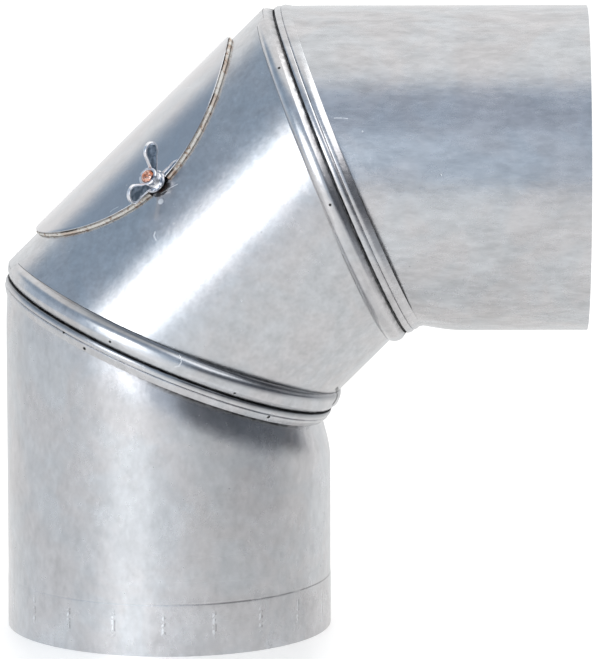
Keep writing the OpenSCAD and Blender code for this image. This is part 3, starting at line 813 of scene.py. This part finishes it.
f = Finish("zinc_plate")
cast = f.noise(700, 3, 0.6)
dull = f.noise(160, 3, 0.5)
base = f.mixed(dull, (0.74, 0.76, 0.81, 1), (0.97, 0.955, 0.965, 1))
# Painted reflection: dark blue patches on the hub.
blot = f.noise(420, 2).ramp(0.54, 0.60) * f.mark("hub") * 0.75
base = f.mixed(blot, base, (0.07, 0.11, 0.18, 1))
# Painted shade and reflection: the wings' sunk faces are a darker blue-grey.
face = f.mixed(f.noise(330, 2).ramp(0.40, 0.66), (0.20, 0.25, 0.30, 1), (0.50, 0.58, 0.66, 1))
base = f.mixed(f.mark("recess"), base, face)
zinc_plate = f.finish(base, 0.24 + dull * 0.12, bumps=[(cast, 0.12), (dull, 0.3)])
for side, name, turned in ((1, "near_wing_nut", 33), (-1, "far_wing_nut", 0)):
    parts, recess, hub, faces, count = [], [], [], [], 0
    for half_turn in (0, 1, -1):
        pts, sunk = wing_points(half_turn) if half_turn else (hub_points(), 0)
        if half_turn:
            pts, sunk = pts.transpose(1, 0, 2), sunk.T
        quads, _ = ring_faces(*pts.shape[:2], closed=half_turn == 0)
        parts.append(pts.reshape(-1, 3))
        recess.append(np.broadcast_to(sunk, pts.shape[:2]).ravel())
        hub.append(np.full(pts.shape[:2], half_turn == 0).ravel())
        faces.append(quads + count)
        count += len(parts[-1])
    pts = np.concatenate(parts)
    ct, st = np.cos(np.radians(turned)), np.sin(np.radians(turned))
    pts = placed(pts, (0, 0, COVER_OUT + NUT_SEAT), (ct, st, 0), (-st, ct, 0), (0, 0, 1))
    nut = mesh_piece(name + "_cast", on_stud(pts, side), np.concatenate(faces), sharp=50,
                     recess=np.concatenate(recess), hub=np.concatenate(hub))
    nut.data.materials.append(zinc_plate)
    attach(nut, name.replace("_wing", ""))
    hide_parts(name)

# Studio
# A pale floor that fades to white, a soft tent of light, two soft boxes and a
# long lens at the height of the elbow's top.
floor_mesh = bpy.data.meshes.new("floor")
floor_mesh.from_pydata([(-6, -6, 0), (6, -6, 0), (6, 6, 0), (-6, 6, 0)], [], [(0, 1, 2, 3)])
floor = bpy.data.objects.new("floor", floor_mesh)
bpy.context.scene.collection.objects.link(floor)
f = Finish("floor_paper")
fx, fy, fz = f.split(f.place)
front = (0 - fy).ramp(-0.05, 0.15)
# The floor is a darker grey towards the right front, and in reflections glows less there.
table = (fx - 0.06).ramp(0.10, 0.60) * front
paper = f.mixed(table, (0.68, 0.665, 0.64, 1), (0.40, 0.40, 0.41, 1))
f.finish(paper, 0.35, 0.0)
seen = f.node("ShaderNodeLightPath", out="Is Camera Ray")
shiny = f.node("ShaderNodeLightPath", out="Is Glossy Ray")
through = f.node("ShaderNodeLightPath", out="Is Transmission Ray")
# Painted light: in reflections only, the floor in front of the elbow glows more, lifting the elbow's own shadow there.
near = fy.ramp(-0.32, -0.16) * (0.14 - fx).ramp(0, 0.1) * (fx + 0.22).ramp(0, 0.16)
show = (shiny + through) * ((1 - 0.8 * table) * 0.22 + near * 0.18) + seen * 0.45
glow = f.node("ShaderNodeEmission", {}, {"Color": (1, 1, 1, 1), "Strength": show})
paper = f.node("ShaderNodeAddShader", {}, {0: Wire(f.tree, f.shader.outputs[0]), 1: glow})
plug(f.tree, f.tree.nodes["Material Output"].inputs["Surface"], paper)
floor_mesh.materials.append(f.material)

world = bpy.data.worlds.new("tent")
bpy.context.scene.world = world
world.use_nodes = True
tent = Finish.__new__(Finish)
tent.tree = world.node_tree
towards = tent.node("ShaderNodeTexCoord", out="Generated")
tx, ty, tz = tent.split(towards)
backdrop = ty.ramp(0.45, 0.65)
ceiling = (ty * 0.6 + tz * 0.8).ramp(0.42, 0.70)
lit = backdrop.math("MAXIMUM", backdrop, ceiling)
left = (0 - tx).ramp(0.52, 0.74)
high = tz.ramp(0.45, 0.70)
room = tent.mixed(high, (0.58, 0.67, 0.79, 1), (0.42, 0.49, 0.60, 1))
room = tent.mixed(tx.ramp(0.25, 0.8), room, (0.52, 0.54, 0.59, 1))
tone = tent.mixed(lit, room, (1.0, 1.0, 1.0, 1))
tone = tent.mixed(left * tz.ramp(0.20, 0.40), tone, (0.34, 0.43, 0.54, 1))
dark = tx.ramp(0.12, 0.40) * (1 - ty.ramp(0.35, 0.60)) * (1 - tz.ramp(0.32, 0.50))
tone = tent.mixed(dark, tone, (0.09, 0.10, 0.12, 1))
plain = tent.node("ShaderNodeBackground", {}, {"Color": tone, "Strength": 1.0})
white = tent.node("ShaderNodeBackground", {}, {"Color": (1, 1, 1, 1), "Strength": 1.0})
seen = tent.node("ShaderNodeLightPath", out="Is Camera Ray")
sky = tent.node("ShaderNodeMixShader", {}, {0: seen, 1: plain, 2: white})
plug(tent.tree, world.node_tree.nodes["World Output"].inputs["Surface"], sky)


def soft_box(name, az, el, distance, size, strength):
    """A rectangular lamp that faces the elbow's middle from that direction.
    Azimuth 0 is the camera's side, and it grows to the right."""
    a, e = np.radians(az), np.radians(el)
    way = np.array([np.sin(a) * np.cos(e), -np.cos(a) * np.cos(e), np.sin(e)])
    lamp = bpy.data.lights.new(name, "AREA")
    lamp.shape = "RECTANGLE"
    lamp.size, lamp.size_y = size
    lamp.energy = strength * np.pi * size[0] * size[1]
    lamp.color = (1, 0.99, 0.98)
    ob = bpy.data.objects.new(name, lamp)
    ob.location = np.array([0.06, 0, 0.14]) + way * distance
    ob.rotation_euler = Vector(way).to_track_quat("Z", "Y").to_euler()
    bpy.context.scene.collection.objects.link(ob)
    return ob


soft_box("key_box", -30, 16, 1.6, (0.72, 0.52), 2.6)
soft_box("key_halo", -30, 16, 1.7, (1.25, 1.02), 1.0)
soft_box("right_box", 88, 52, 1.7, (2.4, 1.0), 1.6)

camera = bpy.data.cameras.new("camera")
camera.sensor_fit = "HORIZONTAL"
camera.sensor_width = 36
camera.lens = 8496.3 / 597 * 36
camera.clip_end = 50
eye = bpy.data.objects.new("camera", camera)
el, roll = 0.1881, -0.0019
back = np.array([0, -np.cos(el), np.sin(el)])
right = np.array([1.0, 0, 0])
up = np.cross(back, right)
r2, u2 = right * np.cos(roll) + up * np.sin(roll), up * np.cos(roll) - right * np.sin(roll)
spot = np.array([0.060298, 0, 0.138151]) + back * 3.9373
eye.matrix_world = Matrix([[r2[k], u2[k], back[k], spot[k]] for k in range(3)] + [[0, 0, 0, 1]])
bpy.context.scene.collection.objects.link(eye)
bpy.context.scene.camera = eye
bpy.context.scene.view_settings.view_transform = "Standard"
